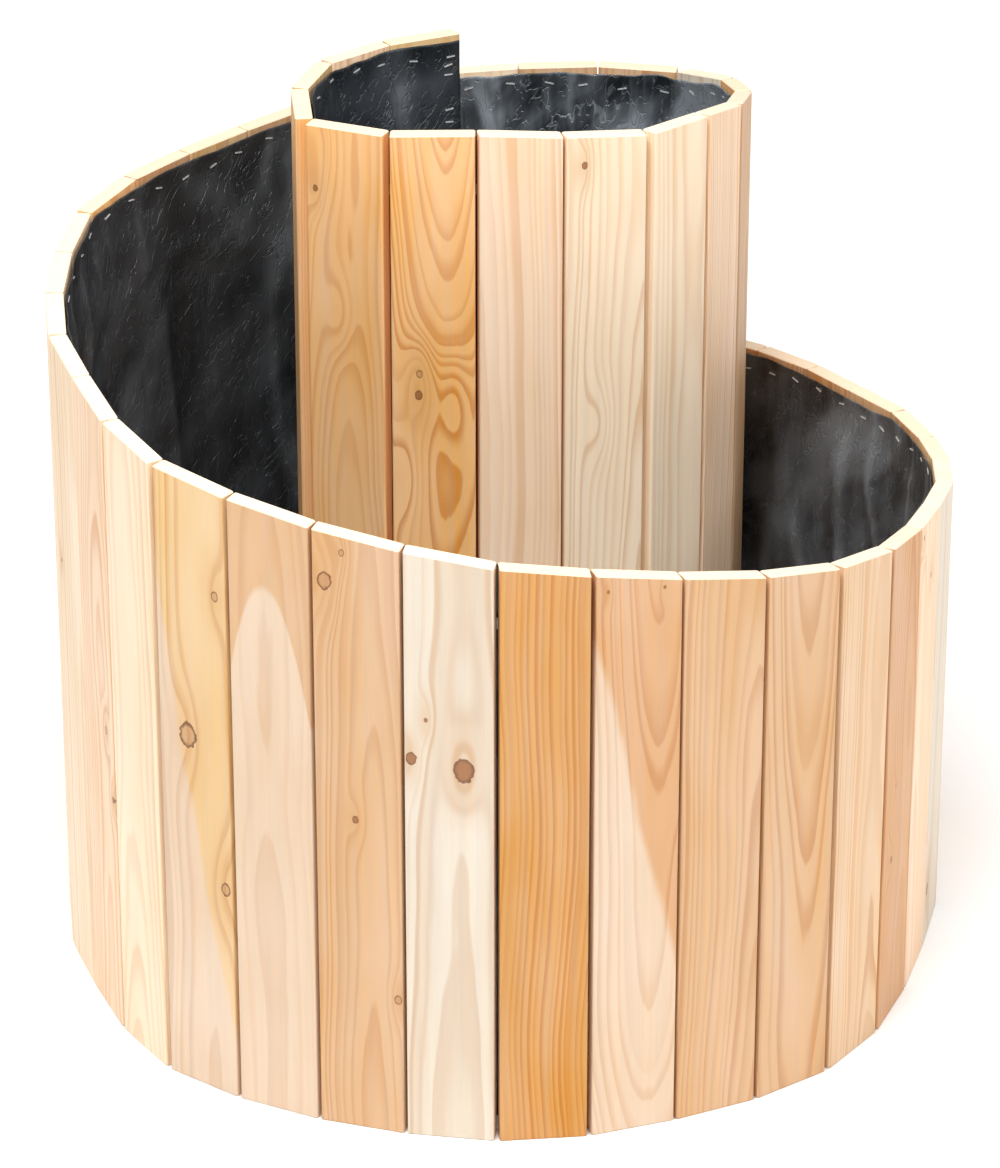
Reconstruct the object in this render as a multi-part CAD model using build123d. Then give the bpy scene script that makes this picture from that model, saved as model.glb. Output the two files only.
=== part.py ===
from build123d import *
import math
import os

os.makedirs("parts", exist_ok=True)

# Herb spiral planter: one long wall of upright slats, rolled into a spiral.
# The wall is followed from its tall inner end to its low outer end, turning left,
# with the soil on the left hand. Lengths in mm, Z up, the photographed side faces -Y.

# planed boards the wall is made of
slat_width = 90
slat_thick = 19
slat_rounding = 2
slat_gap = 1

# the bend at each seam in whole degrees, read off the photograph side by side
first_heading = -148
column_bends = [15, 28, 20, 60, 23, 12, 8, 32, 16, 15]
back_bends = [17, 23, 48, 15, 7, 17, 15, 2, 3, 5]
left_bends = [8, 20, 7, 8, 13, 3]
front_bends = [11, 20, 11, 9, 8, 15, 13, 6, 11, 18]
right_bends = [14, 6, 3, 11, 7, 10, 13, 0, 8]
closing_gap = 0.5

# height of the rim at some of the seams, straight in between: (seam, height)
inner_rim_marks = [(0, 847), (3, 862), (6, 868), (9, 842), (13, 754), (21, 754)]
outer_rim_marks = [(26, 721), (29, 693), (33, 644), (38, 553), (42, 484), (47, 432)]
rim_marks = inner_rim_marks + outer_rim_marks

# two steel straps run along the soil side and hold the slats in a row
strap_height = 12
strap_thick = 1
upper_strap_drop = 68
lower_strap_rise = 13
strap_start_margin = 6
strap_end_margin = 19

# one flat nail through each strap into every slat, at this share of its width
nail_share = 0.46
nail_shank = 2.2
nail_reach = 14
nail_head = 6
nail_head_thick = 0.8

# black film over the straps
film_thick = 0.6
film_below_rim = 6
film_above_floor = 5
film_over_heads = 0.3
film_slope_height = 12
film_slope_above_strap = 3
film_start_margin = 2

# wire staples that pin the film below the rim
staple_crown = 10.6
staple_wire = 0.9
staple_leg = 8
staple_drop = 21
staple_shares = [0.15, 0.64]
staple_scatter = 4
staple_tilt = 14
hole_ease = 0.1

# more staples down the free inner end, one pair above the strap and one below it
end_staple_inset = 17
end_staple_drops = [34, 45, 86, 101]
end_staple_tilt = 9

# figures that follow from the sizes above
pitch = slat_width + slat_gap
upper_strap_top = upper_strap_drop - strap_height / 2
film_stand_off = strap_thick + nail_head_thick + film_over_heads
film_slope_end = upper_strap_top - film_slope_above_strap
film_slope_start = film_slope_end - film_slope_height
bends = column_bends + back_bends + left_bends + front_bends + right_bends
slat_count = len(bends) + 2
from_below = (Align.CENTER, Align.CENTER, Align.MIN)
from_top = (Align.CENTER, Align.CENTER, Align.MAX)


def along(heading):
    return Vector(math.cos(math.radians(heading)), math.sin(math.radians(heading)), 0)


def outward(heading):
    return Vector(math.sin(math.radians(heading)), -math.cos(math.radians(heading)), 0)


# the rim height at any distance along the wall, counted in slats
def rim_height(place):
    for (seam_a, height_a), (seam_b, height_b) in zip(rim_marks, rim_marks[1:]):
        if place <= seam_b:
            return height_a + (height_b - height_a) * (place - seam_a) / (seam_b - seam_a)
    return rim_marks[-1][1]


# headings of all slats but the last
headings = [first_heading]
for bend in bends:
    headings.append(headings[-1] + bend)

seams = [Vector(0, 0, 0)]
for heading in headings:
    seams.append(seams[-1] + along(heading) * pitch)

# the last slat is turned until its end stands against the outside of slat_13 of the column
landing_slat = 12
landing_point = seams[landing_slat] + outward(headings[landing_slat]) * slat_thick
distance_left = (seams[-1] - landing_point).dot(outward(headings[landing_slat]))
closing_angle = math.degrees(math.asin((distance_left - closing_gap) / (pitch - slat_gap / 2)))
headings.append(headings[landing_slat] + 360 + closing_angle)
seams.append(seams[-1] + along(headings[-1]) * pitch)

# the plan is centred on its own bounding box
plan_points = []
for index, heading in enumerate(headings):
    for corner in (seams[index], seams[index + 1]):
        plan_points.append(corner)
        plan_points.append(corner + outward(heading) * slat_thick)
middle_x = (min(p.X for p in plan_points) + max(p.X for p in plan_points)) / 2
middle_y = (min(p.Y for p in plan_points) + max(p.Y for p in plan_points)) / 2
seams = [seam - Vector(middle_x, middle_y, 0) for seam in seams]


# a plane lying on the soil side of one slat: X along the wall, Y up, Z outward
def slat_plane(index):
    return Plane(origin=seams[index], x_dir=along(headings[index]), z_dir=outward(headings[index]))


def nail_heights(index):
    return rim_height(index + nail_share) - upper_strap_drop, lower_strap_rise


# the staples of one slat: distance along it, height, tilt of the crown and stand-off of the film;
# the sines scatter them as a hand with a tacker does
def staple_places(index):
    for number, share in enumerate(staple_shares):
        place = share * pitch + staple_scatter * math.sin(index * 2.4 + number * 1.7)
        lift = staple_scatter * math.cos(index * 1.9 + number)
        height = rim_height(index + place / pitch) - staple_drop - lift
        yield place, height, staple_tilt * math.sin(index * 3.1 + number * 2.2), 0
    if index == 0:
        for drop in end_staple_drops:
            stand_off = film_stand_off if drop > upper_strap_drop else 0
            yield end_staple_inset, rim_height(0) - drop, end_staple_tilt * math.cos(drop), stand_off


def nail(height):
    head = Cylinder(nail_head / 2, nail_head_thick, align=from_top)
    shank = Cylinder(nail_shank / 2, nail_reach + strap_thick, align=from_below)
    return Pos(nail_share * pitch, height, -strap_thick) * (head + shank)


def nail_hole(height):
    radius = nail_shank / 2 + hole_ease
    depth = nail_reach + strap_thick + hole_ease
    return Pos(nail_share * pitch, height, -strap_thick) * Cylinder(radius, depth, align=from_below)


def staple_legs(width, length):
    legs = []
    for side in (-1, 1):
        leg = Box(width, width, length, align=from_below)
        legs.append(Pos(side * (staple_crown - staple_wire) / 2, 0, 0) * leg)
    return legs


def staple(place, height, tilt, stand_off):
    left_leg, right_leg = staple_legs(staple_wire, staple_leg)
    crown = Box(staple_crown, staple_wire, staple_wire, align=from_top)
    return Pos(place, height, -stand_off - film_thick) * Rot(0, 0, tilt) * (crown + left_leg + right_leg)


def staple_holes(place, height, tilt, stand_off):
    where = Pos(place, height, -stand_off - film_thick) * Rot(0, 0, tilt)
    return [where * hole for hole in staple_legs(staple_wire + 2 * hole_ease, staple_leg + hole_ease)]


# a thin profile carried along the soil side of the wall, mitred at every seam;
# the profile is a list of (stand-off from the slats, height) for a given rim height
def strip_section(profile, index, start_margin, end_margin):
    here = headings[min(index, slat_count - 1)]
    before = headings[max(index - 1, 0)]
    point = seams[index]
    if index == 0:
        point = point + along(here) * start_margin
    if index == slat_count:
        point = point - along(before) * end_margin
    half_bend = math.radians(here - before) / 2
    inward = outward((here + before) / 2) * (-1 / math.cos(half_bend))
    corners = []
    for stand_off, height in profile(rim_height(index)):
        corners.append(point + inward * stand_off + Vector(0, 0, height))
    return Wire.make_polygon(corners, close=True)


def carried_strip(profile, start_margin, end_margin):
    sections = [strip_section(profile, index, start_margin, end_margin) for index in range(slat_count + 1)]
    lengths = [Solid.make_loft(pair, ruled=True) for pair in zip(sections, sections[1:])]
    return lengths[0].fuse(*lengths[1:])


def upper_strap_profile(rim):
    middle = rim - upper_strap_drop
    low = middle - strap_height / 2
    high = middle + strap_height / 2
    return [(0, low), (strap_thick, low), (strap_thick, high), (0, high)]


def lower_strap_profile(rim):
    low = lower_strap_rise - strap_height / 2
    high = lower_strap_rise + strap_height / 2
    return [(0, low), (strap_thick, low), (strap_thick, high), (0, high)]


def film_profile(rim):
    front = [
        (0, rim - film_below_rim),
        (0, rim - film_slope_start),
        (film_stand_off, rim - film_slope_end),
        (film_stand_off, film_above_floor),
    ]
    back = [(stand_off + film_thick, height) for stand_off, height in reversed(front)]
    return front + back


nails = []
nail_holes = []
staples = []
leg_holes = []
for index in range(slat_count):
    plane = slat_plane(index)
    slat_nail_holes = [plane * nail_hole(height) for height in nail_heights(index)]
    slat_leg_holes = [plane * hole for place in staple_places(index) for hole in staple_holes(*place)]
    nails += [plane * nail(height) for height in nail_heights(index)]
    nail_holes += slat_nail_holes
    staples += [plane * staple(*place) for place in staple_places(index)]
    leg_holes += slat_leg_holes

    left = slat_gap / 2
    right = pitch - slat_gap / 2
    face = Polygon(
        (left, 0),
        (right, 0),
        (right, rim_height(index + right / pitch)),
        (left, rim_height(index + left / pitch)),
        align=None,
    )
    slat = plane * extrude(face, amount=slat_thick)
    slat = fillet(slat.edges().filter_by(Axis.Z), slat_rounding)
    slat = slat - (slat_nail_holes + slat_leg_holes)
    export_step(slat, f"parts/slat_{index + 1:02d}.step")

# every second hole of the list belongs to the lower strap
upper_strap = carried_strip(upper_strap_profile, strap_start_margin, strap_end_margin) - nail_holes[0::2]
lower_strap = carried_strip(lower_strap_profile, strap_start_margin, strap_end_margin) - nail_holes[1::2]
export_step(upper_strap, "parts/strap_upper.step")
export_step(lower_strap, "parts/strap_lower.step")

film = carried_strip(film_profile, film_start_margin, strap_end_margin) - leg_holes
export_step(film, "parts/liner.step")

export_step(Compound(children=nails), "parts/strap_nails.step")
export_step(Compound(children=staples), "parts/liner_staples.step")
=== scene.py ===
import math
import bpy
import numpy as np
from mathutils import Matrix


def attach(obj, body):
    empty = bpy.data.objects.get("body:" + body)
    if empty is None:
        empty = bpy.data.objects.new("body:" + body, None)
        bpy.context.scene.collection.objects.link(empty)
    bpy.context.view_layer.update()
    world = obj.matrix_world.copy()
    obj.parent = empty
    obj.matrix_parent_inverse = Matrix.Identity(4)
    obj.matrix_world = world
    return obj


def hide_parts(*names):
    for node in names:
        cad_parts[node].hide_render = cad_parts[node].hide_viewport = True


# Herb spiral planter: planed softwood slats strapped into a spiral, with black film stapled inside.
# Lengths are in metres. The wall is followed from its tall inner end to its low outer end,
# so the soil side is always on the left hand and the show side on the right.

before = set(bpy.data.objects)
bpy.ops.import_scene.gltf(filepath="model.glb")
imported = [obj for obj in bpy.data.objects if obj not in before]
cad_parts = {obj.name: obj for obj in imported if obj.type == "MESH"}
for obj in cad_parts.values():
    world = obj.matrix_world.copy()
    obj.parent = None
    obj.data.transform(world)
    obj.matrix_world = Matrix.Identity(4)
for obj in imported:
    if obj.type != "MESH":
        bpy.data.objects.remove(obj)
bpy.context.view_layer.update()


# A number or colour travelling through a shader. Sums, differences, products and quotients of
# wires make Math nodes; every other node is made by the method called node.
class Wire:
    def __init__(self, tree, socket=None):
        self.tree = tree
        self.socket = socket

    def node(self, kind, inputs, output=0, **settings):
        made = self.tree.nodes.new(kind)
        for name, value in settings.items():
            setattr(made, name, value)
        for place, value in inputs.items():
            if isinstance(value, Wire):
                self.tree.links.new(value.socket, made.inputs[place])
            else:
                made.inputs[place].default_value = value
        return Wire(self.tree, made.outputs[output])

    def maths(self, operation, *others):
        inputs = {0: self}
        for place, value in enumerate(others):
            inputs[place + 1] = value
        return self.node("ShaderNodeMath", inputs, operation=operation)

    def __add__(self, other):
        return self.maths("ADD", other)

    def __sub__(self, other):
        return self.maths("SUBTRACT", other)

    def __mul__(self, other):
        return self.maths("MULTIPLY", other)

    def __truediv__(self, other):
        return self.maths("DIVIDE", other)

    def __rsub__(self, other):
        return self.node("ShaderNodeMath", {0: other, 1: self}, operation="SUBTRACT")

    def __rtruediv__(self, other):
        return self.node("ShaderNodeMath", {0: other, 1: self}, operation="DIVIDE")

    __radd__ = __add__
    __rmul__ = __mul__


# the first wire among several values, which knows the tree that they belong to
def anyWire(*values):
    return next(value for value in values if isinstance(value, Wire))


# one attribute of the mesh as a wire
def attribute(start, name, output="Vector"):
    return start.node("ShaderNodeAttribute", {}, output, attribute_name=name)


# a vector's three parts
def split(vector):
    return [vector.node("ShaderNodeSeparateXYZ", {0: vector}, axis) for axis in "XYZ"]


# three parts made one vector
def join(x, y, z):
    return anyWire(x, y, z).node("ShaderNodeCombineXYZ", {0: x, 1: y, 2: z})


# 0 below low, 1 above high, and a smooth slope between them
def ramp(value, low, high):
    inputs = {0: value, 1: low, 2: high}
    return value.node("ShaderNodeMapRange", inputs, interpolation_type="SMOOTHSTEP")


# soft random patches between 0 and 1, smaller as scale grows and finer with more detail
def cloud(vector, scale, detail=2.0, roughness=0.5):
    inputs = {"Vector": vector, "Scale": scale, "Detail": detail, "Roughness": roughness}
    return vector.node("ShaderNodeTexNoise", inputs, 0)


# how far a place lies from the nearest line of a net of cells
def edgeDistance(vector):
    return vector.node("ShaderNodeTexVoronoi", {"Vector": vector}, 0, feature="DISTANCE_TO_EDGE")


# first where the factor is 0 and second where it is 1, or first times second with MULTIPLY
def blend(factor, first, second, how="MIX"):
    inputs = {0: factor, 6: first, 7: second}
    wire = anyWire(factor, first, second)
    return wire.node("ShaderNodeMix", inputs, 2, data_type="RGBA", blend_type=how)


# the greatest of several wires at each place
def greatest(wires):
    top = wires[0]
    for wire in wires[1:]:
        top = top.maths("MAXIMUM", wire)
    return top


# a fresh material, its shader, and a wire to start its nodes from
def newMaterial(name):
    material = bpy.data.materials.new(name)
    material.use_nodes = True
    tree = material.node_tree
    return material, tree.nodes["Principled BSDF"], Wire(tree)


# a wire led into one socket of the shader
def plug(wire, shader, name):
    wire.tree.links.new(wire.socket, shader.inputs[name])


# Pairs named Scale are waves per metre, across the board and along it.
woodLook = {
    "sap": (0.76, 0.585, 0.43, 1),
    "late": (0.74, 0.52, 0.36, 1),
    "knot": (0.34, 0.13, 0.042, 1),
    "knotRim": (0.15, 0.055, 0.022, 1),
    "resin": (0.62, 0.33, 0.12, 1),
    "endGrain": (0.82, 0.69, 0.53, 1),
    "sway": 0.034,  # how far the pith wanders sideways
    "swayScale": 1.9,
    "swayDeep": 0.022,  # and how far it wanders in depth
    "swayDeepScale": 2.1,
    "drift": 0.014,  # slow waves in the rings
    "driftScale": (9.0, 2.4),
    "jitter": 0.0024,  # small waves in the rings
    "jitterScale": (60.0, 7.0),
    "years": 3.2,  # how unevenly the years' widths fall
    "yearScale": 75.0,
    "lateRises": (0.30, 0.86),  # shares of a ring
    "lateFalls": (0.90, 1.0),
    "weakestRing": 0.25,
    "knotSquash": 0.75,  # a knot stands a little taller than it is wide
    "knotStretch": 0.2,  # and the grain flows round it along the board
    "knotSwelling": 0.85,
    "knotWobble": 0.5,
    "knotEdge": 0.0004,
    "rimShare": (0.62, 0.90),  # shares of a knot's radius
    "paleHeart": 0.62,
    "haloSize": (0.0008, 0.0012),  # knots smaller than this have no resin round them
    "speckleScale": 230.0,
    "heartRagged": 0.02,
    "heartRaggedScale": (30.0, 5.0),
    "heartByKnot": 0.012,
    "heartEdge": (-0.004, 0.006),
    "fibreScale": (1000.0, 16.0),
    "streakScale": (130.0, 2.2),
    "blotchScale": (16.0, 4.0),
    "chipScale": 420.0,
    "strength": {
        "late": 0.80, "lateInSap": 0.6, "knot": 0.90, "knotRim": 0.85, "endGrain": 0.80,
        "resin": 0.42, "resinStreaks": 0.9,
    },
    "light": {"fibre": 0.12, "streak": 0.20, "blotch": 0.16},
    "richness": {"streak": 0.3, "blotch": 0.5},
    "roughness": {"plain": 0.55, "fibre": 0.2, "late": -0.06, "knot": -0.12, "endGrain": 0.2},
    "relief": {"late": 0.35, "fibre": 0.55, "knot": 0.3, "chips": 1.6},
    "bump": 0.35,
    "bumpHeight": 0.0006,
    "ior": 1.45,
    "specular": 0.35,
}

knotNames = ("knotA", "knotB", "knotC", "knotD")
tiny = 0.00001


# Planed softwood. The growth rings are cylinders round a pith line in front of the board:
# r = distance from that line, which leans and sways along the board, plus a swelling at each knot.
# The ring number is r divided by the ring width, and the years' widths differ by lot. The late
# wood darkens the last part of every ring. The heart wood lies above the line
# z = height - slope * x - bow * x * x, and the sap wood below it is paler.
def woodMaterial(look):
    material, shader, start = newMaterial("planed softwood")
    x, depth, z = split(attribute(start, "board"))
    pithX, pithDepth, pithLean = split(attribute(start, "pith"))
    ringWidth, contrast, seed = split(attribute(start, "grain"))
    heartHeight, heartSlope, heartBow = split(attribute(start, "heart"))
    tone = attribute(start, "tone", "Color")
    endGrain = attribute(start, "endGrain", "Fac")

    # patches about 0, drawn out along the board
    def lengthwise(scale, detail):
        across, along = look[scale]
        return cloud(join(x * across + seed, depth * across, z * along), 1.0, detail) - 0.5

    sway = (cloud(join(seed, 0.0, z * look["swayScale"]), 1.0, 1.0) - 0.5) * look["sway"]
    swayDeep = cloud(join(seed + 5.0, 3.0, z * look["swayDeepScale"]), 1.0, 1.0) - 0.5
    swayDeep = swayDeep * look["swayDeep"]
    drift = lengthwise("driftScale", 2.0) * look["drift"]
    jitter = lengthwise("jitterScale", 2.0) * look["jitter"]
    speckleScale = look["speckleScale"]
    speckle = cloud(join(x * speckleScale, z * speckleScale, seed), 1.0, 2.0) - 0.5

    lift = jitter + drift
    disks = []
    rims = []
    halos = []
    for name in knotNames:
        knot = attribute(start, name, "Color")
        swelling = attribute(start, name, "Alpha")
        knotX, knotZ, knotSize = split(knot)
        size = knotSize.maths("ABSOLUTE") + tiny
        across = x - knotX
        up = (z - knotZ) * look["knotSquash"]
        away = (across * across + up * up).maths("SQRT")
        stretched = (across * across + up * up * look["knotStretch"]).maths("SQRT")
        near = stretched / (swelling + tiny)
        spread = (near * near * -1.0).maths("EXPONENT")
        lift = lift + swelling * look["knotSwelling"] * spread
        wobble = away + speckle * size * look["knotWobble"]
        disk = ramp(size - wobble, -look["knotEdge"], look["knotEdge"])
        hollow = ramp(knotSize * -1.0, -tiny, tiny)
        rim = ramp(wobble / size, *look["rimShare"])
        disks.append(disk * (1.0 - hollow * (1.0 - rim) * look["paleHeart"]))
        rims.append(rim * disk)
        halos.append(spread * ramp(size, *look["haloSize"]))
    knotDisk = greatest(disks)
    knotRim = greatest(rims)
    halo = greatest(halos)

    fromPith = x - pithX - sway
    behind = depth + pithDepth + pithLean * z + swayDeep
    radius = (fromPith * fromPith + behind * behind).maths("SQRT") + lift
    years = cloud(join(radius * look["yearScale"] + seed, seed, 0.0), 1.0, 2.0) - 0.5
    rings = radius / ringWidth + years * look["years"]
    inRing = rings.maths("FRACT")
    ringNumber = rings.maths("FLOOR")
    ringStrength = start.node(
        "ShaderNodeTexWhiteNoise", {"W": ringNumber + seed}, 0, noise_dimensions="1D")
    weakest = look["weakestRing"]
    late = ramp(inRing, *look["lateRises"]) * (1.0 - ramp(inRing, *look["lateFalls"]))
    late = late * (ringStrength * (1.0 - weakest) + weakest) * contrast

    raggedX, raggedZ = look["heartRaggedScale"]
    ragged = cloud(join(x * raggedX, seed, z * raggedZ), 1.0, 3.0) - 0.5
    above = z - heartHeight + heartSlope * x + heartBow * x * x
    steep = (heartSlope * heartSlope + 1.0).maths("SQRT")
    overLine = above / steep + ragged * look["heartRagged"] + halo * look["heartByKnot"]
    heart = ramp(overLine, *look["heartEdge"])

    fibreAcross, fibreAlong = look["fibreScale"]
    fibrePlace = join(x * fibreAcross, depth * fibreAcross, z * fibreAlong + seed)
    fibre = cloud(fibrePlace, 1.0, 3.0, 0.6) - 0.5
    streak = lengthwise("streakScale", 3.0)
    blotch = lengthwise("blotchScale", 2.0)

    white = (1, 1, 1, 1)
    strength = look["strength"]
    inSap = strength["lateInSap"]
    colour = blend(heart, look["sap"], tone)
    shade = blend(late * strength["late"] * (heart * (1.0 - inSap) + inSap), white, look["late"])
    colour = blend(1.0, colour, shade, "MULTIPLY")
    weights = look["light"]
    light = 1.0 + fibre * weights["fibre"] + streak * weights["streak"] + blotch * weights["blotch"]
    richness = look["richness"]
    rich = 1.0 - blotch * richness["blotch"] + streak * richness["streak"]
    inputs = {"Value": light, "Saturation": rich, "Color": colour}
    colour = colour.node("ShaderNodeHueSaturation", inputs)
    resin = halo * strength["resin"] * (streak + strength["resinStreaks"])
    colour = blend(resin, colour, look["resin"])
    knotColour = blend(knotRim * strength["knotRim"], look["knot"], look["knotRim"])
    colour = blend(knotDisk * strength["knot"], colour, knotColour)
    colour = blend(endGrain * strength["endGrain"], colour, look["endGrain"])
    plug(colour, shader, "Base Color")

    weights = look["roughness"]
    rough = weights["plain"] + fibre * weights["fibre"] + late * weights["late"]
    rough = rough + knotDisk * weights["knot"] + endGrain * weights["endGrain"]
    plug(rough, shader, "Roughness")

    chipScale = look["chipScale"]
    chips = cloud(join(x * chipScale, depth * chipScale, z * chipScale), 1.0, 3.0) * endGrain
    weights = look["relief"]
    height = late * weights["late"] + fibre * weights["fibre"]
    height = height + knotDisk * weights["knot"] + chips * weights["chips"]
    inputs = {"Strength": look["bump"], "Distance": look["bumpHeight"], "Height": height}
    plug(height.node("ShaderNodeBump", inputs), shader, "Normal")
    shader.inputs["IOR"].default_value = look["ior"]
    shader.inputs["Specular IOR Level"].default_value = look["specular"]
    return material


# The spans are distances along the wall, over which each region sets in or ends.
filmLook = {
    "colour": (0.015, 0.018, 0.022, 1),
    # painted sheen and dust: the pale grey-blue mixed into the film's colour
    "sheenAndDustColour": (0.235, 0.265, 0.295, 1),
    # how much painted sheen and dust: some everywhere, more in the column as painted highlight,
    # more at the low end as painted reflection
    "wallSheenAndDust": 0.17,
    "columnSheen": 1.25,
    "columnStarts": (0.75, 1.0),
    "columnEnds": (1.55, 1.75),
    "lowEndSheen": 0.34,
    "lowEndStarts": (3.1, 3.6),
    "mostSheenAndDust": 0.85,
    "sheenAndDust": {"patch": 0.50, "broadSheen": 0.45, "wisp": 0.18, "crestSheen": 0.6,
             "crease": 0.22, "creaseSheenInWisp": 0.55},
    "creaseWidth": 0.045,
    "roughness": {"plain": 0.28, "patch": 0.18, "wisp": 0.1},
    "relief": {"small": 0.06, "middle": 1.5, "swell": 4.5, "crease": 0.30},
    "smallScale": 60.0,
    "middleScale": 19.0,
    "bump": 0.8,
    "bumpHeight": 0.0030,
}


# Black film: nearly black, with a pale layer painted into its colour that is partly dust and partly
# painted sheen, in broad patches, thin wisps, painted highlights along the creases and on the
# crests of the folds, and a gloss broken by soft swells. The numbers beside along and height are
# waves per metre. The painted sheen is stronger in the column, as painted highlight, and at the low
# end of the wall, as painted reflection of the pale surround.
def filmMaterial(look):
    material, shader, start = newMaterial("black film")
    along, height, fold = split(attribute(start, "cloth"))
    flat = join(along, height, 0.0)
    slope = along * 11.0 + height * 9.0
    upright = cloud(join(along * 16.0, height * 4.5, 0.0), 1.0, 3.0, 0.6)
    slanted = cloud(join(slope, height * 7.0, 4.0), 1.0, 4.0, 0.62)
    swell = cloud(join(slope, height * 7.0, 8.0), 1.0, 1.0)
    patch = ramp(upright * 0.55 + slanted * 0.45, 0.42, 0.66)
    wisp = ramp(cloud(join(along * 60.0, height * 9.0, 2.0), 1.0, 3.0, 0.6), 0.52, 0.75)
    # broad patches of painted sheen
    broadSheen = cloud(join(along * 7.0 + height * 3.0, height * 6.0, 9.0), 1.0, 1.5)
    broadSheen = ramp(broadSheen, 0.46, 0.60)
    # painted highlight on the crests of the folds
    crestSheen = ramp(fold, 0.35, 1.0)
    bent = join(along * 7.0 + slanted * 1.6 + height * 2.0, height * 3.2 + upright * 1.6, 0.0)
    crease = 1.0 - ramp(edgeDistance(bent), 0.0, look["creaseWidth"])

    # the painted sheen grows in the column and at the low end of the wall
    inColumn = ramp(along, *look["columnStarts"]) * (1.0 - ramp(along, *look["columnEnds"]))
    lowEnd = ramp(along, *look["lowEndStarts"])
    amount = look["wallSheenAndDust"] + inColumn * look["columnSheen"] + lowEnd * look["lowEndSheen"]
    weights = look["sheenAndDust"]
    sheenAndDust = patch * weights["patch"] + broadSheen * weights["broadSheen"] + wisp * weights["wisp"]
    sheenAndDust = sheenAndDust + crestSheen * weights["crestSheen"]
    # painted highlights along the creases, brighter in the wisps
    sheenAndDust = sheenAndDust + (crease * weights["creaseSheenInWisp"] * wisp + crease * weights["crease"])
    sheenAndDust = (sheenAndDust * amount).maths("MINIMUM", look["mostSheenAndDust"])
    # the painted sheen and dust mixed into the film's colour
    plug(blend(sheenAndDust, look["colour"], look["sheenAndDustColour"]), shader, "Base Color")

    weights = look["roughness"]
    rough = weights["plain"] + patch * weights["patch"] + wisp * weights["wisp"]
    plug(rough, shader, "Roughness")

    weights = look["relief"]
    crinkle = cloud(flat, look["smallScale"], 1.0) * weights["small"]
    crinkle = crinkle + cloud(flat, look["middleScale"], 1.0) * weights["middle"]
    crinkle = crinkle + swell * weights["swell"] + crease * weights["crease"]
    inputs = {"Strength": look["bump"], "Distance": look["bumpHeight"], "Height": crinkle}
    plug(crinkle.node("ShaderNodeBump", inputs), shader, "Normal")
    return material


# Each steel: colour, roughness, how fine its mottle is, and how metallic it looks.
steelLooks = {
    "galvanised strap": ((0.62, 0.61, 0.58, 1), 0.42, 220.0, 1.0),
    "nail steel": ((0.55, 0.55, 0.54, 1), 0.38, 300.0, 1.0),
    # near white and only half metallic: a painted reflection of the white surround on the staple
    # wire
    "staple wire with painted glint": ((0.92, 0.92, 0.93, 1), 0.42, 400.0, 0.45),
}


# Galvanised or bright steel: a mottle of the colour and a darker shade of it, and of the roughness.
# The staple wire's near-white colour is a painted reflection.
def steelMaterial(name):
    colour, roughness, grainScale, metallic = steelLooks[name]
    material, shader, start = newMaterial(name)
    place = start.node("ShaderNodeTexCoord", {}, "Object")
    mottle = cloud(place, grainScale, 3.0, 0.6)
    darker = 0.78
    dark = tuple(value * darker for value in colour[:3]) + (1,)
    plug(blend(ramp(mottle, 0.35, 0.7), dark, colour), shader, "Base Color")
    plug(roughness + (mottle - 0.5) * 0.2, shader, "Roughness")
    shader.inputs["Metallic"].default_value = metallic
    return material


wood = woodMaterial(woodLook)
filmSkin = filmMaterial(filmLook)
strapSteel = steelMaterial("galvanised strap")
nailSteel = steelMaterial("nail steel")
glintPaintedWireSteel = steelMaterial("staple wire with painted glint")
metalNodes = {"strap_upper": strapSteel, "strap_lower": strapSteel, "strap_nails": nailSteel}
for node, steel in metalNodes.items():
    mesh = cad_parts[node].data
    mesh.materials.clear()
    mesh.materials.append(steel)
print("materials made")


# Every slat is measured off its CAD node: the middle of its foot, the way the wall runs there,
# half its width and thickness, and the height of its two top corners.
def measureSlats():
    floorReach = 0.0005  # points this near the floor belong to the foot
    cornerShare = 0.9  # points beyond this share of the half width belong to a corner
    feet = []
    clouds = []
    names = sorted(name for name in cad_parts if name.startswith("slat_"))
    for name in names:
        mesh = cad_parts[name].data
        points = np.zeros(len(mesh.vertices) * 3)
        mesh.vertices.foreach_get("co", points)
        points = points.reshape(-1, 3)
        clouds.append(points)
        feet.append(points[points[:, 2] < floorReach])
    centres = [(foot.min(0) + foot.max(0)) / 2 for foot in feet]
    slats = []
    for index, name in enumerate(names):
        foot = feet[index][:, :2] - centres[index][:2]
        axis = np.linalg.svd(foot - foot.mean(0))[2][0]
        travel = centres[min(index + 1, len(names) - 1)] - centres[max(index - 1, 0)]
        if axis @ travel[:2] < 0:
            axis = -axis
        out = np.array([axis[1], -axis[0]])
        flat = clouds[index][:, :2] - centres[index][:2]
        across = flat @ axis
        halfWidth = (across.max() - across.min()) / 2
        halfThick = ((flat @ out).max() - (flat @ out).min()) / 2
        heights = clouds[index][:, 2]
        slats.append({
            "name": name,
            "centre": centres[index][:2],
            "axis": axis,
            "out": out,
            "halfWidth": halfWidth,
            "halfThick": halfThick,
            "startRim": heights[across < -cornerShare * halfWidth].max(),
            "endRim": heights[across > cornerShare * halfWidth].max(),
        })
    return slats


slats = measureSlats()
print("slats measured:", len(slats))


# a piece made from its points and faces, with one material
def newMesh(name, points, faces, material, smooth=True):
    mesh = bpy.data.meshes.new(name)
    mesh.from_pydata(points.tolist(), [], faces)
    mesh.materials.append(material)
    mesh.polygons.foreach_set("use_smooth", [smooth] * len(mesh.polygons))
    mesh.update()
    thing = bpy.data.objects.new(name, mesh)
    bpy.context.scene.collection.objects.link(thing)
    return thing


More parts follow.
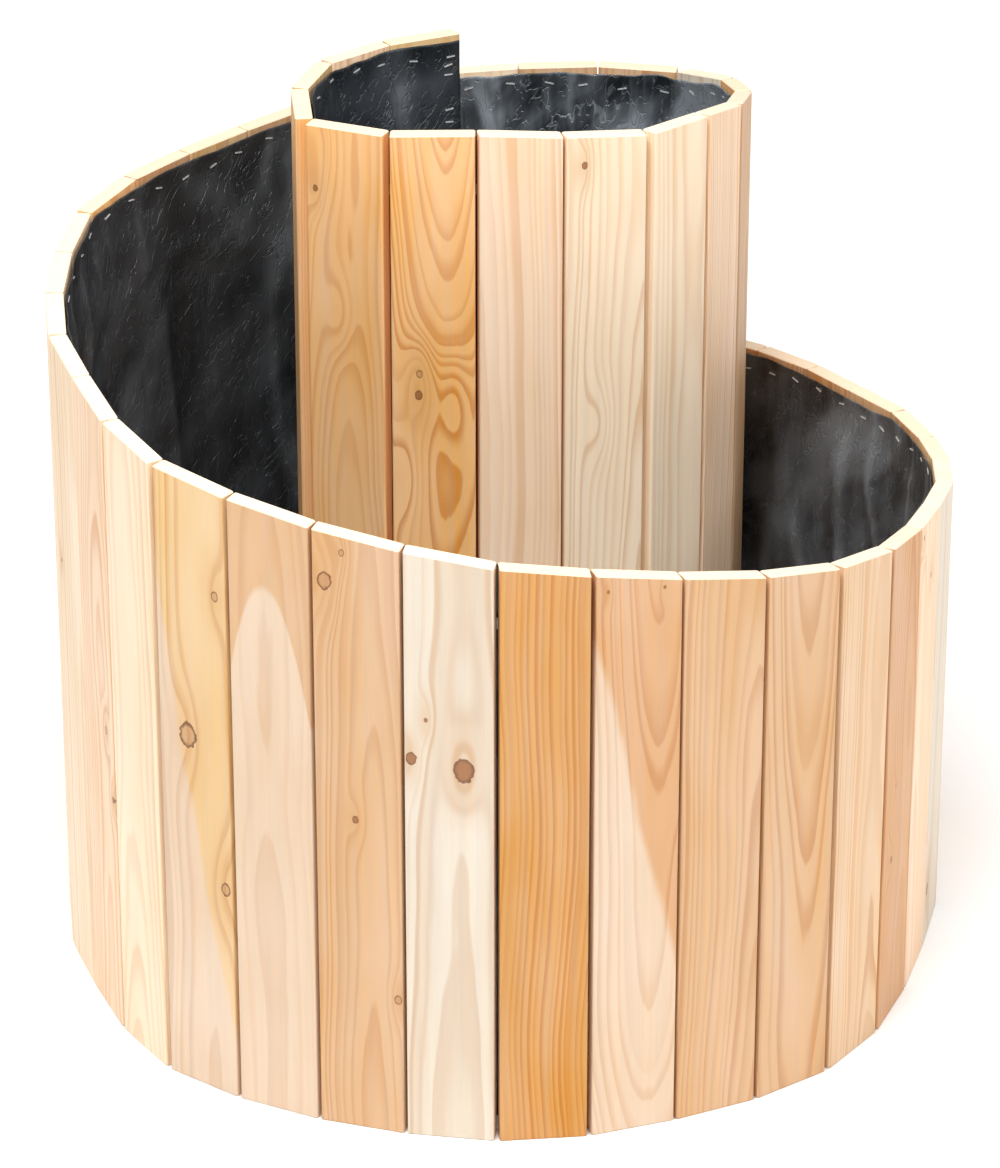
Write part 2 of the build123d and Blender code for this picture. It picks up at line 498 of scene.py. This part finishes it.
# one value for each point or face, kept in the mesh for its material
def paint(mesh, name, values, kind="FLOAT_VECTOR", domain="POINT"):
    layer = mesh.attributes.new(name, kind, domain)
    field = {"FLOAT_VECTOR": "vector", "FLOAT": "value", "FLOAT_COLOR": "color"}[kind]
    layer.data.foreach_set(field, np.asarray(values, dtype=np.float32).ravel())


slatShape = {
    "rounding": 0.0022,
    "cornerSteps": 4,
    "endEase": 0.0009,
}


# The outline of a slat seen from above: a rectangle with its four long edges rounded.
def slatOutline(halfWidth, halfThick, rounding, steps):
    outline = []
    for corner, (signX, signY) in enumerate(((1, 1), (-1, 1), (-1, -1), (1, -1))):
        for step in range(steps + 1):
            angle = math.radians(90 * corner + 90 * step / steps)
            outline.append((
                signX * (halfWidth - rounding) + rounding * math.cos(angle),
                signY * (halfThick - rounding) + rounding * math.sin(angle),
            ))
    return np.array(outline)


# One slat: the outline is repeated up the board, drawn in a little at both ends, and the top is
# cut along the straight line between the two rim heights. board holds (across, depth, height).
def buildSlat(slat, shape, look):
    outline = slatOutline(
        slat["halfWidth"], slat["halfThick"], shape["rounding"], shape["cornerSteps"])
    middleRim = (slat["startRim"] + slat["endRim"]) / 2
    slope = (slat["endRim"] - slat["startRim"]) / (2 * slat["halfWidth"])
    ease = shape["endEase"]
    floor = np.zeros(len(outline))
    footOutline = outline * (1 - ease / slat["halfThick"])
    topOutline = outline - np.sign(outline) * ease
    local = np.concatenate([
        np.column_stack([footOutline, floor]),
        np.column_stack([outline, floor + ease]),
        np.column_stack([outline, middleRim + slope * outline[:, 0] - ease]),
        np.column_stack([topOutline, middleRim + slope * topOutline[:, 0]]),
    ])
    around = len(outline)
    faces = [list(range(around))[::-1]]
    for level in range(3):
        for step in range(around):
            after = (step + 1) % around
            low = level * around
            faces.append([low + step, low + after, low + around + after, low + around + step])
    faces.append(list(range(3 * around, 4 * around)))
    flat = slat["centre"] + local[:, :1] * slat["axis"] - local[:, 1:2] * slat["out"]
    points = np.column_stack([flat, local[:, 2]])
    thing = newMesh(slat["name"] + "_board", points, faces, wood, smooth=False)

    mesh = thing.data
    count = len(points)
    depth = local[:, 1] + slat["halfThick"]
    paint(mesh, "board", np.column_stack([local[:, 0], depth, local[:, 2]]))
    for name in ("pith", "grain", "heart"):
        paint(mesh, name, np.tile(look[name], (count, 1)))
    paint(mesh, "tone", np.tile(look["tone"] + (1.0,), (count, 1)), "FLOAT_COLOR")
    noKnot = (0.0, -1.0, 0.0, 0.0)
    for number, name in enumerate(knotNames):
        knot = look["knots"][number] if number < len(look["knots"]) else noKnot
        paint(mesh, name, np.tile(knot, (count, 1)), "FLOAT_COLOR")
    ends = np.zeros(len(mesh.polygons))
    ends[0] = 1  # the foot
    ends[-1] = 1  # the sawn top
    ends[-1 - around:-1] = 1  # and the eased edge round the top
    paint(mesh, "endGrain", ends, "FLOAT", "FACE")
    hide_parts(slat["name"])
    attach(thing, "root")


tones = {
    "cream": (0.76, 0.67, 0.55),
    # milk and pale: pale wood made lighter still, partly a painted highlight where the light falls
    # strongest on the boards
    "milk": (0.96, 0.77, 0.56),
    "pale": (0.95, 0.70, 0.49),
    "sand": (0.77, 0.54, 0.34),
    "straw": (0.79, 0.55, 0.29),
    "honey": (0.94, 0.54, 0.235),
    "orange": (0.655, 0.345, 0.125),
    "pink": (0.685, 0.435, 0.245),
    "tan": (0.68, 0.40, 0.215),
}

# The boards that the photograph shows well: tone, pith across, pith depth and lean, ring width,
# contrast, heart wood line, and knots as (across, height, radius, swelling). A knot with a
# negative radius has a pale heart, and one of no radius is only a swelling of the grain.
allHeart = (-1.0, 0.0, 0.0)
boardLooks = {
    4: ("honey", 0.03, 0.030, 0.00, 0.0030, 1.0, allHeart, []),
    5: ("honey", 0.006, 0.016, 0.030, 0.0062, 0.60, allHeart,
        [(-0.027, 0.840, 0.0, 0.020), (-0.034, 0.793, 0.003, 0.010),
         (-0.008, 0.652, 0.0, 0.016)]),
    6: ("honey", 0.014, 0.110, -0.105, 0.0058, 1.25, allHeart,
        [(-0.016, 0.567, 0.0042, 0.020), (-0.015, 0.592, -0.0035, 0.014),
         (0.020, 0.560, 0.0, 0.022), (-0.030, 0.470, 0.0, 0.020)]),
    7: ("pale", -0.06, 0.060, 0.012, 0.0070, 0.8, allHeart, []),
    8: ("milk", 0.05, 0.060, 0.010, 0.0058, 0.8, allHeart,
        [(-0.025, 0.825, 0.0032, 0.010), (-0.006, 0.519, 0.0, 0.016)]),
    9: ("milk", 0.02, 0.050, 0.010, 0.0060, 0.6, allHeart, []),
    10: ("pale", 0.07, 0.050, 0.000, 0.0034, 1.0, allHeart, []),
    11: ("pink", 0.02, 0.060, 0.010, 0.0040, 0.8, allHeart, []),
    25: ("milk", 0.01, 0.040, 0.010, 0.0050, 0.7, allHeart, []),
    26: ("milk", 0.04, 0.050, 0.005, 0.0046, 0.7, allHeart, [(-0.027, 0.478, 0.002, 0.008)]),
    27: ("pale", 0.02, 0.050, 0.005, 0.0044, 0.8, allHeart,
         [(0.027, 0.349, -0.0035, 0.010), (0.042, 0.274, 0.0030, 0.009)]),
    28: ("milk", -0.01, 0.050, 0.030, 0.0052, 0.6, allHeart, []),
    29: ("straw", 0.016, 0.020, 0.010, 0.0105, 1.1, (0.324, 5.8, 0.0),
         [(0.032, 0.580, -0.0045, 0.014), (-0.008, 0.411, -0.0110, 0.024),
          (0.037, 0.246, -0.0060, 0.024)]),
    30: ("pink", -0.004, 0.060, 0.020, 0.0056, 0.7, (0.600, 0.6, 60.0), []),
    31: ("pink", 0.016, 0.020, 0.026, 0.0066, 0.75, allHeart,
         [(-0.032, 0.626, -0.0075, 0.018), (-0.014, 0.659, -0.003, 0.010),
          (-0.003, 0.362, 0.0034, 0.009), (0.040, 0.159, -0.0042, 0.010)]),
    32: ("cream", 0.010, 0.050, 0.020, 0.0100, 0.9, allHeart,
         [(-0.038, 0.441, 0.0055, 0.012), (0.015, 0.431, 0.0105, 0.017),
          (-0.023, 0.485, 0.0020, 0.010)]),
    33: ("orange", 0.075, 0.035, 0.006, 0.0062, 1.0, allHeart, []),
    34: ("tan", 0.020, 0.060, -0.060, 0.0066, 0.8, (0.370, 4.2, 0.0),
         [(-0.033, 0.625, 0.0016, 0.006), (0.026, 0.621, 0.0016, 0.006)]),
    35: ("pink", 0.045, 0.040, 0.030, 0.0056, 0.75, allHeart, []),
    36: ("pink", 0.004, 0.048, -0.045, 0.0070, 0.9, allHeart, []),
    37: ("sand", 0.03, 0.050, 0.020, 0.0044, 0.8, allHeart, []),
    38: ("tan", 0.02, 0.030, 0.012, 0.0046, 0.8, allHeart,
         [(-0.020, 0.195, 0.0030, 0.012), (-0.013, 0.281, 0.0016, 0.006)]),
    39: ("pale", -0.03, 0.040, 0.010, 0.0040, 0.8, allHeart,
         [(-0.036, 0.536, 0.0022, 0.010), (0.007, 0.473, 0.0022, 0.010)]),
}

# What the other boards are drawn from by lot, each pair a lowest and a highest value.
byLot = {
    "tones": ["cream", "milk", "pale", "straw", "honey", "pink", "tan"],
    "seed": (0, 60),
    "pithX": (-0.06, 0.06),
    "pithDepth": (0.012, 0.06),
    "lean": (-0.04, 0.04),
    "ringWidth": (0.0040, 0.0075),
    "contrast": (0.6, 1.1),
    "heartShare": 0.3,
    "heartHeight": (0.2, 0.5),
    "heartSlope": (-6, 6),
    "mostKnots": 3,
    "knotSize": (0.002, 0.007),
    "knotX": (-0.036, 0.036),
    "knotZ": (0.06, 0.7),
    "leastSwelling": 0.008,
    "swellingBySize": 1.6,
}


# The look of one board: as read off the photograph, or drawn by lot for the boards it hides.
def boardLook(number, chance, lot):
    seed = float(chance.uniform(*lot["seed"]))
    if number in boardLooks:
        tone, pithX, pithDepth, lean, ringWidth, contrast, heart, knots = boardLooks[number]
    else:
        tone = chance.choice(lot["tones"])
        pithX = chance.uniform(*lot["pithX"])
        pithDepth = chance.uniform(*lot["pithDepth"])
        lean = chance.uniform(*lot["lean"])
        ringWidth = chance.uniform(*lot["ringWidth"])
        contrast = chance.uniform(*lot["contrast"])
        heart = allHeart
        if chance.uniform() < lot["heartShare"]:
            heart = (chance.uniform(*lot["heartHeight"]), chance.uniform(*lot["heartSlope"]), 0.0)
        knots = []
        for _ in range(chance.integers(0, lot["mostKnots"] + 1)):
            size = chance.uniform(*lot["knotSize"]) * chance.choice([-1, 1])
            swelling = lot["leastSwelling"] + abs(size) * lot["swellingBySize"]
            knots.append((chance.uniform(*lot["knotX"]), chance.uniform(*lot["knotZ"]),
                          size, swelling))
    return {
        "pith": (pithX, pithDepth, lean),
        "grain": (ringWidth, contrast, seed),
        "heart": heart,
        "tone": tones[str(tone)],
        "knots": knots,
    }


chance = np.random.default_rng(47)
for number, slat in enumerate(slats, start=1):
    buildSlat(slat, slatShape, boardLook(number, chance, byLot))
print("slats built:", len(slats))


# a share from 0 to 1 that sets off and arrives gently: three times its square less twice its cube
def ease(share):
    return share * share * (3 - 2 * share)


# 0 below low, 1 above high, and a gentle rise between them
def rise(value, low, high):
    return ease(np.clip((value - low) / (high - low), 0, 1))


# Smooth random hills over a plane: a lattice of random heights, blended with the gentle share.
def hills(x, y, seed):
    cells = 256
    lattice = np.random.default_rng(seed).random((cells, cells))
    column = np.floor(x).astype(int)
    row = np.floor(y).astype(int)
    partX = ease(x - column)
    partY = ease(y - row)
    left, right = column % cells, (column + 1) % cells
    low, high = row % cells, (row + 1) % cells
    near = lattice[left, low] * (1 - partX) + lattice[right, low] * partX
    far = lattice[left, high] * (1 - partX) + lattice[right, high] * partX
    return near * (1 - partY) + far * partY


# Sharp creases: 1 on the lines where the hills pass through their middle height, 0 far from them.
def creases(x, y, seed, sharpness=2.2):
    return 1 - np.minimum(1, np.abs(2 * hills(x, y, seed) - 1) * sharpness)


# Drops are measured down from the rim, and pairs are where something begins and is complete.
filmShape = {
    "columnStep": 0.0070,
    "rows": 62,
    "rowCrowding": 1.35,  # above 1, the rows lie closer together near the rim
    "belowRim": 0.003,
    "edgeDip": 0.0045,
    "edgeNick": 0.0022,
    "aboveFloor": 0.006,
    "startMargin": 0.002,
    "endMargin": 0.020,
    "onWood": 0.0007,
    "overStrap": 0.0024,
    "strapDrops": (0.045, 0.060),
    "thick": 0.0004,
    "looseDrops": (0.022, 0.11),
    "startHeld": (0.0, 0.05),
    "endHeld": (0.03, 0.20),
    "pinReach": (0.011, 0.012),  # how far a staple holds the film, along and up
    "pinHold": 0.92,
    "wideWaves": 0.0060,
    "folds": 0.0085,
    "foldsAtRim": 0.12,
    "slantFolds": 0.0034,
    "slantAtRim": 0.25,
    "crumple": 0.0011,
    "scallop": 0.0032,
    "scallopDrop": 0.006,
    "scallopReach": 0.018,
    "cornerCut": 0.010,  # for each radian that the wall turns
}

stapleRule = {
    "shares": (0.15, 0.64),  # of a slat's spacing
    "scatter": 0.004,
    "drop": 0.021,
    "tilt": 14,
    "endInset": 0.017,
    "endDrops": (0.034, 0.045, 0.086, 0.101),
    "endTilt": 9,
    "crown": 0.0106,
    "shoulder": 0.0007,
    "crownLift": 0.0003,
    "shoulderDrop": 0.0002,
    "leg": 0.0030,
    "wide": 0.0014,
    "thick": 0.0009,
}

seamGap = 0.001
pitch = 2 * slats[0]["halfWidth"] + seamGap
wallLength = pitch * len(slats)


# The staples in the places the CAD gives them: (distance along the wall, height, tilt). The
# sines only scatter them a little, by each slat's number.
def stapleSpots(rule):
    spots = []
    for index, slat in enumerate(slats):
        for number, share in enumerate(rule["shares"]):
            place = share * pitch + rule["scatter"] * math.sin(index * 2.4 + number * 1.7)
            rim = slat["startRim"] + (slat["endRim"] - slat["startRim"]) * place / pitch
            drop = rule["drop"] + rule["scatter"] * math.cos(index * 1.9 + number)
            tilt = math.radians(rule["tilt"] * math.sin(index * 3.1 + number * 2.2))
            spots.append((index * pitch + place, rim - drop, tilt))
    for drop in rule["endDrops"]:
        tilt = math.radians(rule["endTilt"] * math.cos(drop * 1000))
        spots.append((rule["endInset"], slats[0]["startRim"] - drop, tilt))
    return spots


spots = stapleSpots(stapleRule)


# A place on the soil side of the wall: point on the slat faces, way inward, rim height and turn.
# Near a seam the way inward swings evenly from one slat's to the next, and is made longer there
# so that the film clears both faces of the corner.
def wallPlace(distance):
    lastSlat = len(slats) - 1
    cornerReach = 0.016
    index = np.clip((distance / pitch).astype(int), 0, lastSlat)
    local = distance - index * pitch
    centres = np.array([slat["centre"] for slat in slats])
    axes = np.array([slat["axis"] for slat in slats])
    outs = np.array([slat["out"] for slat in slats])
    starts = centres - axes * pitch / 2 - outs * slats[0]["halfThick"]
    points = starts[index] + axes[index] * local[:, None]

    toEnd = np.clip((pitch - local) / cornerReach, 0, 1)
    toStart = np.clip(local / cornerReach, 0, 1)
    after = np.clip(index + 1, 0, lastSlat)
    before = np.clip(index - 1, 0, lastSlat)
    inward = -outs[index] - outs[after] * ((1 - toEnd) / (1 + toEnd))[:, None]
    inward -= outs[before] * ((1 - toStart) / (1 + toStart))[:, None]
    inward /= np.linalg.norm(inward, axis=1)[:, None]
    cosine = np.sum(inward * -outs[index], axis=1)
    inward /= np.clip(cosine, 0.5, 1)[:, None]
    turn = np.arccos(np.clip(cosine, 0, 1))

    startRims = np.array([slat["startRim"] for slat in slats])
    endRims = np.array([slat["endRim"] for slat in slats])
    rims = startRims[index] + (endRims - startRims)[index] * local / pitch
    return points, inward, rims, turn


# the lines along which the film stands in upright folds
def foldLines(distance, height):
    return creases(distance * 13 + hills(distance * 4, height * 5, 9), height * 2.1, 5)


# How far the film stands off the boards: pinned at the staples, over the straps and nails by a set
# distance, and elsewhere loose, with wide waves, upright folds, slanting folds and fine crumples.
# The numbers beside distance and height are waves per metre, and the last one is the seed.
def filmStandOff(shape, distance, height, rim, turn):
    drop = rim - height
    loose = rise(drop, *shape["looseDrops"])
    ends = rise(distance, *shape["startHeld"]) * rise(wallLength - distance, *shape["endHeld"])
    pinned = np.zeros_like(distance)
    pinAlong, pinUp = shape["pinReach"]
    beyondReach = distance.max() + 0.05
    for spotDistance, spotHeight, _ in spots:
        if spotDistance > beyondReach:
            continue
        gap = ((distance - spotDistance) / pinAlong) ** 2 + ((height - spotHeight) / pinUp) ** 2
        pinned = np.maximum(pinned, np.exp(-gap))

    wide = hills(distance * 6.5, height * 3.0, 3) * shape["wideWaves"] * loose
    foldHeld = shape["foldsAtRim"]
    folds = foldLines(distance, height) ** 1.5 * shape["folds"]
    folds = folds * (foldHeld + (1 - foldHeld) * loose)
    slantHeld = shape["slantAtRim"]
    slant = creases(distance * 7 + height * 8, height * 9 - distance * 4, 7) ** 2
    slant = slant * shape["slantFolds"] * (slantHeld + (1 - slantHeld) * loose)
    crumple = hills(distance * 55, height * 38, 11) * shape["crumple"]
    nearEdge = np.exp(-((drop - shape["scallopDrop"]) / shape["scallopReach"]) ** 2)
    scallop = shape["scallop"] * nearEdge * hills(distance * 21, height * 0 + 3.3, 13)
    corner = shape["cornerCut"] * turn
    moving = wide + folds + slant + crumple + scallop + corner
    moving = moving * ends * (1 - shape["pinHold"] * pinned)
    overStrap = (shape["overStrap"] - shape["onWood"]) * rise(drop, *shape["strapDrops"])
    return shape["onWood"] + overStrap + moving


# The film: a grid of distance along the wall and height, each point set off the boards by
# filmStandOff, with a second layer behind it at the film's thickness and a border between them.
# cloth holds (distance, height, fold).
def buildFilm(shape):
    length = wallLength - shape["startMargin"] - shape["endMargin"]
    columns = int(length / shape["columnStep"])
    rows = shape["rows"]
    distance = shape["startMargin"] + np.linspace(0, 1, columns) * length
    points, inward, rims, turn = wallPlace(distance)
    dip = shape["edgeDip"] * hills(distance * 19, distance * 0, 21)
    nick = shape["edgeNick"] * hills(distance * 60, distance * 0, 22)
    top = rims - shape["belowRim"] - (dip + nick)
    tall = top - shape["aboveFloor"]
    share = np.linspace(0, 1, rows) ** shape["rowCrowding"]
    height = top[:, None] - share[None, :] * tall[:, None]
    spread = np.repeat(distance[:, None], rows, axis=1)
    rimSpread = np.repeat(rims[:, None], rows, axis=1)
    turnSpread = np.repeat(turn[:, None], rows, axis=1)
    standOff = filmStandOff(shape, spread, height, rimSpread, turnSpread)

    layers = []
    for extra in (shape["thick"], 0.0):
        flat = points[:, None, :] + inward[:, None, :] * (standOff + extra)[:, :, None]
        layers.append(np.concatenate([flat, height[:, :, None]], axis=2).reshape(-1, 3))
    count = columns * rows
    base = np.arange(count).reshape(columns, rows)
    corners = [base[:-1, :-1], base[:-1, 1:], base[1:, 1:], base[1:, :-1]]
    front = np.stack(corners, axis=-1).reshape(-1, 4)
    back = front[:, ::-1] + count
    border = np.concatenate([base[:, 0], base[-1, 1:], base[-2::-1, -1], base[0, -2:0:-1]])
    after = np.roll(border, -1)
    edge = np.stack([border, after, after + count, border + count], axis=-1)
    faces = np.concatenate([front, back, edge]).tolist()
    thing = newMesh("film_liner", np.concatenate(layers), faces, filmSkin)

    fold = foldLines(spread, height) ** 2
    cloth = np.stack([spread, height, fold], axis=-1).reshape(-1, 3)
    paint(thing.data, "cloth", np.concatenate([cloth, cloth]))
    area = float(np.sum(tall) * length / columns)
    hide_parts("liner")
    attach(thing, "root")
    print("film laid:", round(length, 3), "long,", round(area, 3), "square metres")


buildFilm(filmShape)


# Staples: a flat wire bent at both ends, its crown lying on the film and its legs going in. The
# wire's section, a small rectangle, is carried along the bent path of each one.
def buildStaples(rule):
    half = rule["crown"] / 2
    bend = half - rule["shoulder"]
    path = [(-half, -rule["leg"]), (-half, -rule["shoulderDrop"]), (-bend, rule["crownLift"]),
            (bend, rule["crownLift"]), (half, -rule["shoulderDrop"]), (half, -rule["leg"])]
    points = []
    faces = []
    for distance, height, tilt in spots:
        place, inward, rims, turn = wallPlace(np.array([distance]))
        inward = inward[0] / np.linalg.norm(inward[0])
        along = np.array([inward[1], -inward[0]])
        spot = np.array([distance]), np.array([height])
        standOff = filmStandOff(filmShape, *spot, rims, turn)[0]
        first = len(points)
        for across, out in path:
            for wide, deep in ((-1, 0), (1, 0), (1, 1), (-1, 1)):
                sideways = wide * rule["wide"] / 2
                side = across * math.cos(tilt) - sideways * math.sin(tilt)
                up = across * math.sin(tilt) + sideways * math.cos(tilt)
                off = standOff + filmShape["thick"] + out + deep * rule["thick"]
                flat = place[0] + along * side + inward * off
                points.append((flat[0], flat[1], height + up))
        for step in range(len(path) - 1):
            low = first + step * 4
            for edge in range(4):
                after = (edge + 1) % 4
                faces.append([low + edge, low + after, low + 4 + after, low + 4 + edge])
        last = first + (len(path) - 1) * 4
        faces.append([first, first + 3, first + 2, first + 1])
        faces.append([last, last + 1, last + 2, last + 3])
    thing = newMesh("staples", np.array(points), faces, glintPaintedWireSteel, smooth=False)
    thing.data.flip_normals()
    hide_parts("liner_staples")
    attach(thing, "root")


buildStaples(stapleRule)
print("staples set:", len(spots))

stage = {
    "floorSize": 24.0,
    "floorColour": (0.93, 0.93, 0.93, 1),
    "floorRoughness": 0.9,
    "floorSpecular": 0.1,
    "sky": 0.40,
    "aim": (0, 0.1, 0.6),
    "lamps": {
        "top": ((-0.3, -1.0, 2.25), 0.9, 27.0, (1.0, 0.99, 0.97)),
        "right": ((2.2, -1.2, 2.3), 1.4, 25.0, (1.0, 0.99, 0.98)),
    },
    "sunPower": 2.28,
    "sunWidth": 50,
    "sunTurn": (11, 0, -30),
}


# a round soft lamp, turned so that it looks from its place at its target
def softLight(name, place, target, size, power, colour):
    data = bpy.data.lights.new(name, "AREA")
    data.shape = "DISK"
    data.size = size
    data.energy = power
    data.color = colour
    thing = bpy.data.objects.new(name, data)
    bpy.context.scene.collection.objects.link(thing)
    thing.location = place
    way = np.array(target) - np.array(place)
    flat = math.hypot(way[0], way[1])
    tip = math.atan2(flat, -way[2])
    thing.rotation_euler = (tip, 0, math.atan2(way[1], way[0]) - math.pi / 2)


# A pale floor, a surround that the camera sees as plain white, two soft lamps and a wide sun.
def buildStage(stage):
    half = stage["floorSize"] / 2
    corners = np.array([(-half, -half, 0), (half, -half, 0), (half, half, 0), (-half, half, 0)])
    material, shader, _ = newMaterial("studio floor")
    shader.inputs["Base Color"].default_value = stage["floorColour"]
    shader.inputs["Roughness"].default_value = stage["floorRoughness"]
    shader.inputs["Specular IOR Level"].default_value = stage["floorSpecular"]
    floor = newMesh("floor", corners, [[0, 1, 2, 3]], material, smooth=False)

    world = bpy.data.worlds.new("surround")
    bpy.context.scene.world = world
    world.use_nodes = True
    tree = world.node_tree
    background = tree.nodes["Background"]
    seen = Wire(tree).node("ShaderNodeLightPath", {}, "Is Camera Ray")
    strength = seen * (1.0 - stage["sky"]) + stage["sky"]
    background.inputs["Color"].default_value = (1, 1, 1, 1)
    plug(strength, background, "Strength")

    for name, (place, size, power, colour) in stage["lamps"].items():
        softLight(name, place, stage["aim"], size, power, colour)
    sun = bpy.data.lights.new("sun", "SUN")
    sun.energy = stage["sunPower"]
    sun.angle = math.radians(stage["sunWidth"])
    thing = bpy.data.objects.new("sun", sun)
    bpy.context.scene.collection.objects.link(thing)
    thing.rotation_euler = [math.radians(turn) for turn in stage["sunTurn"]]


buildStage(stage)
print("stage set")

camera = {
    "place": (-0.0047, -5.2053, 3.0023),
    "tiltDown": 26.902,
    "lens": 165.46,
    "sensorWidth": 36.0,
    "farthest": 60.0,
}


# the photograph's viewpoint, found by fitting the corners of the slats
def buildCamera(camera):
    data = bpy.data.cameras.new("camera")
    data.lens = camera["lens"]
    data.sensor_width = camera["sensorWidth"]
    data.clip_end = camera["farthest"]
    thing = bpy.data.objects.new("camera", data)
    bpy.context.scene.collection.objects.link(thing)
    thing.location = camera["place"]
    thing.rotation_euler = (math.radians(90 - camera["tiltDown"]), 0, 0)
    bpy.context.scene.camera = thing


buildCamera(camera)
bpy.context.scene.view_settings.view_transform = "Standard"
print("camera placed")

print("scene ready")
